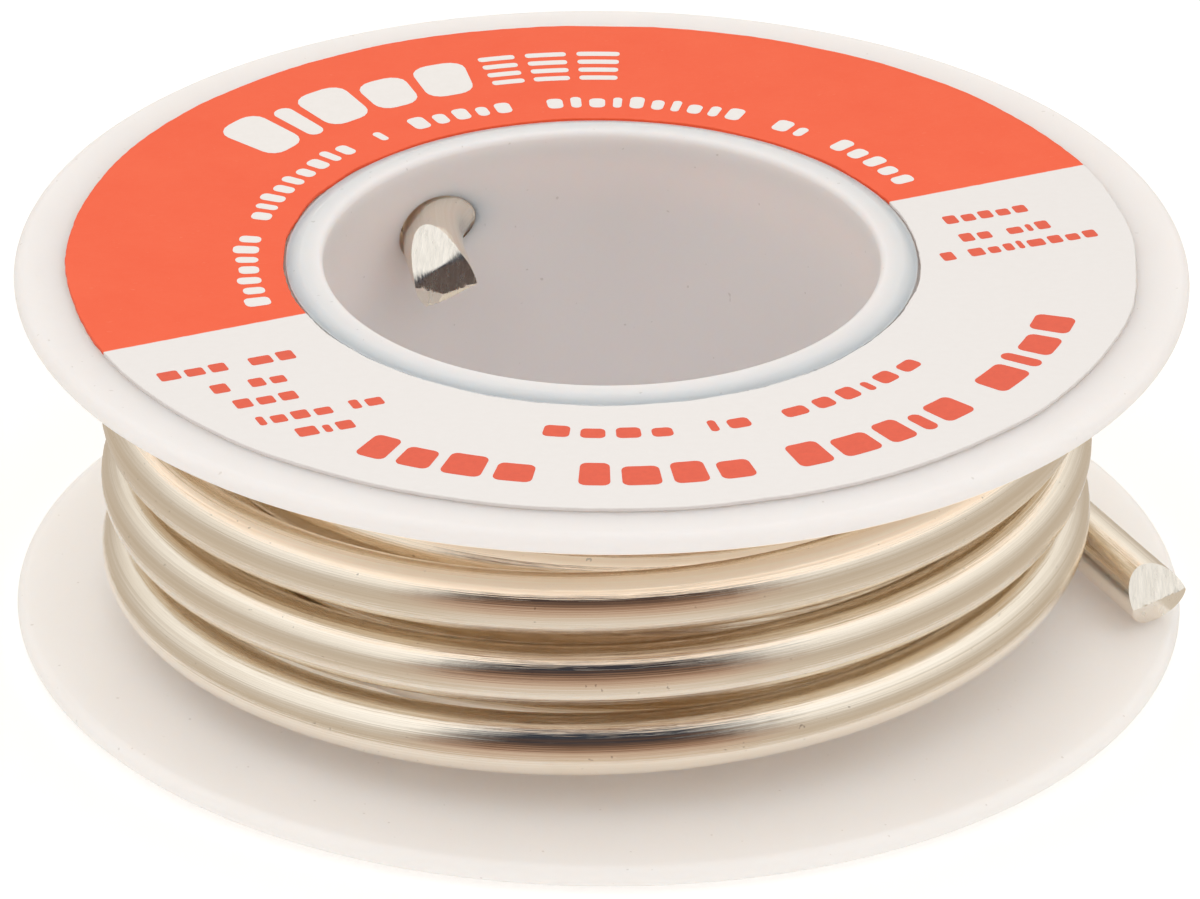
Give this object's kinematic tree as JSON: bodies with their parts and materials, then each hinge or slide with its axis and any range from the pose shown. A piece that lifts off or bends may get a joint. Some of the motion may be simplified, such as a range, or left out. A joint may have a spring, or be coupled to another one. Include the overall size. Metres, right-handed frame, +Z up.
{
  "type": "solder wire spool",
  "caption": "Flanged plastic spool wound with thick solid solder wire, with an open tube hub, a paper face label and a short cut tail.",
  "frame": {"origin": "centre of the spool on the plane it stands on", "axes": "+Z up the spool's axis towards the labelled flange, +X towards the side where the cut tail ends"},
  "size_m": [0.0605, 0.0604, 0.0208],
  "materials": {
    "natural_plastic": "translucent natural white, soft sheen",
    "label_paper": "coated paper, orange-red half and white half",
    "solder": "drawn bright tin alloy, fine lengthwise lines"
  },
  "bodies": {
    "root": {"hub_barrel": "natural_plastic", "lower_flange": "natural_plastic", "upper_flange": "natural_plastic", "face_label": "label_paper", "solder_wire": "solder"}
  },
  "joints": []
}
